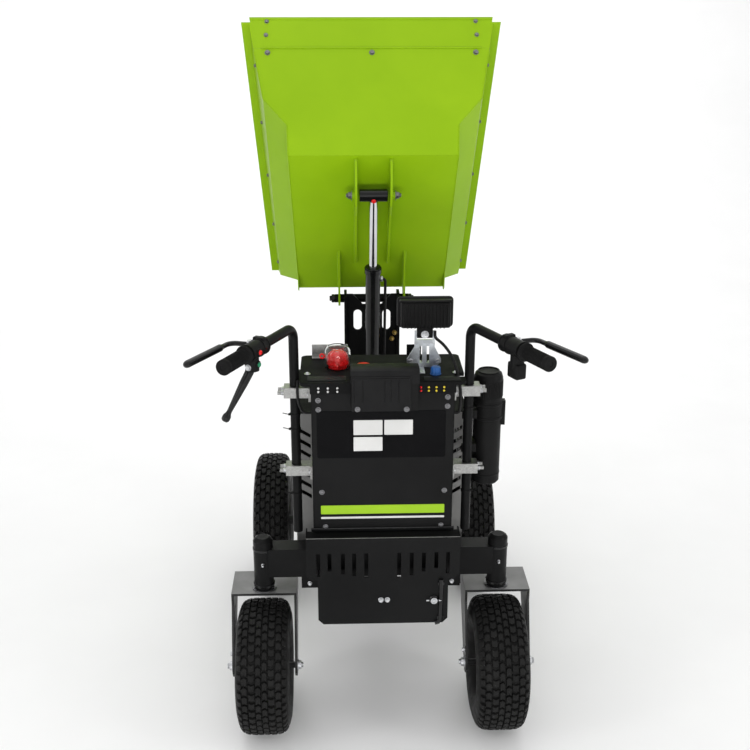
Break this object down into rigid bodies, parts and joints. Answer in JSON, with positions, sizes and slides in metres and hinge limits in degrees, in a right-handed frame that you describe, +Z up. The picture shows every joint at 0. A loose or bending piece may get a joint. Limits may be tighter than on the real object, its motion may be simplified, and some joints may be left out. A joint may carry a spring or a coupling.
{
  "type": "walk-behind tipping site dumper",
  "caption": "Walk-behind battery site dumper with a tipping skip on a hinge tower, hydraulic cylinder, front drive wheels, rear swivel casters and handlebars.",
  "frame": {"origin": "on the ground under the middle of the bounding box", "axes": "+X to the right of an operator behind the machine, +Y forward to the tipping side, +Z up"},
  "size_m": [0.8154, 1.3404, 1.6715],
  "materials": {
    "lime_paint": "satin lime powder coat",
    "black_paint": "satin black powder coat",
    "grey_paint": "satin grey powder coat",
    "tyre_rubber": "matte",
    "rim_paint": "satin black",
    "zinc": "galvanised",
    "black_plastic": "matte",
    "grip_rubber": "matte",
    "red_plastic": "gloss",
    "chrome_rod": "hard chrome",
    "gear_case": "cast",
    "battery_block": "matte",
    "hose_rubber": "matte"
  },
  "bodies": {
    "chassis": {"chassis_rails": "black_paint", "rear_beam": "black_paint", "drive_axle": "gear_case", "drive_motor": "gear_case", "tipping_tower": "black_paint", "console_housing": "black_paint", "battery_case": "grey_paint", "battery_lid": "black_paint", "battery_pack": "battery_block", "rear_panel": "black_paint", "lower_rear_cover": "black_paint", "console_top": "black_paint", "control_binnacle": "black_plastic", "left_handlebar": "black_paint", "right_handlebar": "black_paint", "grips": "grip_rubber", "switch_pods": "black_plastic", "hand_levers": "black_paint", "brake_lever": "black_paint", "handlebar_clamps": "zinc", "emergency_stop": "red_plastic", "work_light": "black_plastic", "light_bracket": "zinc", "console_cables": "hose_rubber", "document_tube": "black_plastic"},
    "left_caster": {"left_caster_fork": "black_paint"},
    "left_caster_wheel": {"left_caster_rim": "rim_paint", "left_caster_tyre": "tyre_rubber"},
    "right_caster": {"right_caster_fork": "black_paint"},
    "right_caster_wheel": {"right_caster_rim": "rim_paint", "right_caster_tyre": "tyre_rubber"},
    "left_drive_wheel": {"left_drive_rim": "rim_paint", "left_drive_tyre": "tyre_rubber"},
    "right_drive_wheel": {"right_drive_rim": "rim_paint", "right_drive_tyre": "tyre_rubber"},
    "cylinder_barrel": {"cylinder_barrel": "black_paint", "cylinder_hose": "hose_rubber"},
    "cylinder_rod": {"cylinder_rod": "chrome_rod"},
    "skip": {"skip_floor": "lime_paint", "skip_rear_wall": "lime_paint", "skip_front_wall": "lime_paint", "skip_left_wall": "lime_paint", "skip_right_wall": "lime_paint", "skip_extension": "lime_paint", "skip_brackets": "lime_paint"}
  },
  "joints": [
    {"name": "left_caster_swivel", "type": "hinge", "parent": "chassis", "child": "left_caster", "pos_m": [-0.288, -0.33504, 0.42], "axis": [0, 0, 1], "continuous": true},
    {"name": "left_caster_roll", "type": "hinge", "parent": "left_caster", "child": "left_caster_wheel", "pos_m": [-0.288, -0.39504, 0.165], "axis": [1, 0, 0], "continuous": true},
    {"name": "left_drive_roll", "type": "hinge", "parent": "chassis", "child": "left_drive_wheel", "pos_m": [-0.302, 0.30496, 0.205], "axis": [1, 0, 0], "continuous": true},
    {"name": "right_caster_swivel", "type": "hinge", "parent": "chassis", "child": "right_caster", "pos_m": [0.288, -0.33504, 0.42], "axis": [0, 0, 1], "continuous": true},
    {"name": "right_caster_roll", "type": "hinge", "parent": "right_caster", "child": "right_caster_wheel", "pos_m": [0.288, -0.39504, 0.165], "axis": [1, 0, 0], "continuous": true},
    {"name": "right_drive_roll", "type": "hinge", "parent": "chassis", "child": "right_drive_wheel", "pos_m": [0.302, 0.30496, 0.205], "axis": [1, 0, 0], "continuous": true},
    {"name": "skip_tip", "type": "hinge", "parent": "chassis", "child": "skip", "pos_m": [0, 0.40497, 0.881], "axis": [-1, 0, 0], "range_deg": [-60, 0]},
    {"name": "barrel_pivot", "type": "hinge", "parent": "chassis", "child": "cylinder_barrel", "pos_m": [0, 0.36496, 0.592], "axis": [-1, 0, 0], "range_deg": [-37.14, 0]},
    {"name": "rod_slide", "type": "slide", "parent": "cylinder_barrel", "child": "cylinder_rod", "axis": [0, -0.2421, 0.9702], "range_m": [-0.1937, 0]}
  ],
  "couplings": [
    {"joint": "barrel_pivot", "follows": "skip_tip", "ratio": 0.61397},
    {"joint": "rod_slide", "follows": "skip_tip", "m_per_rad": 0.18399}
  ]
}
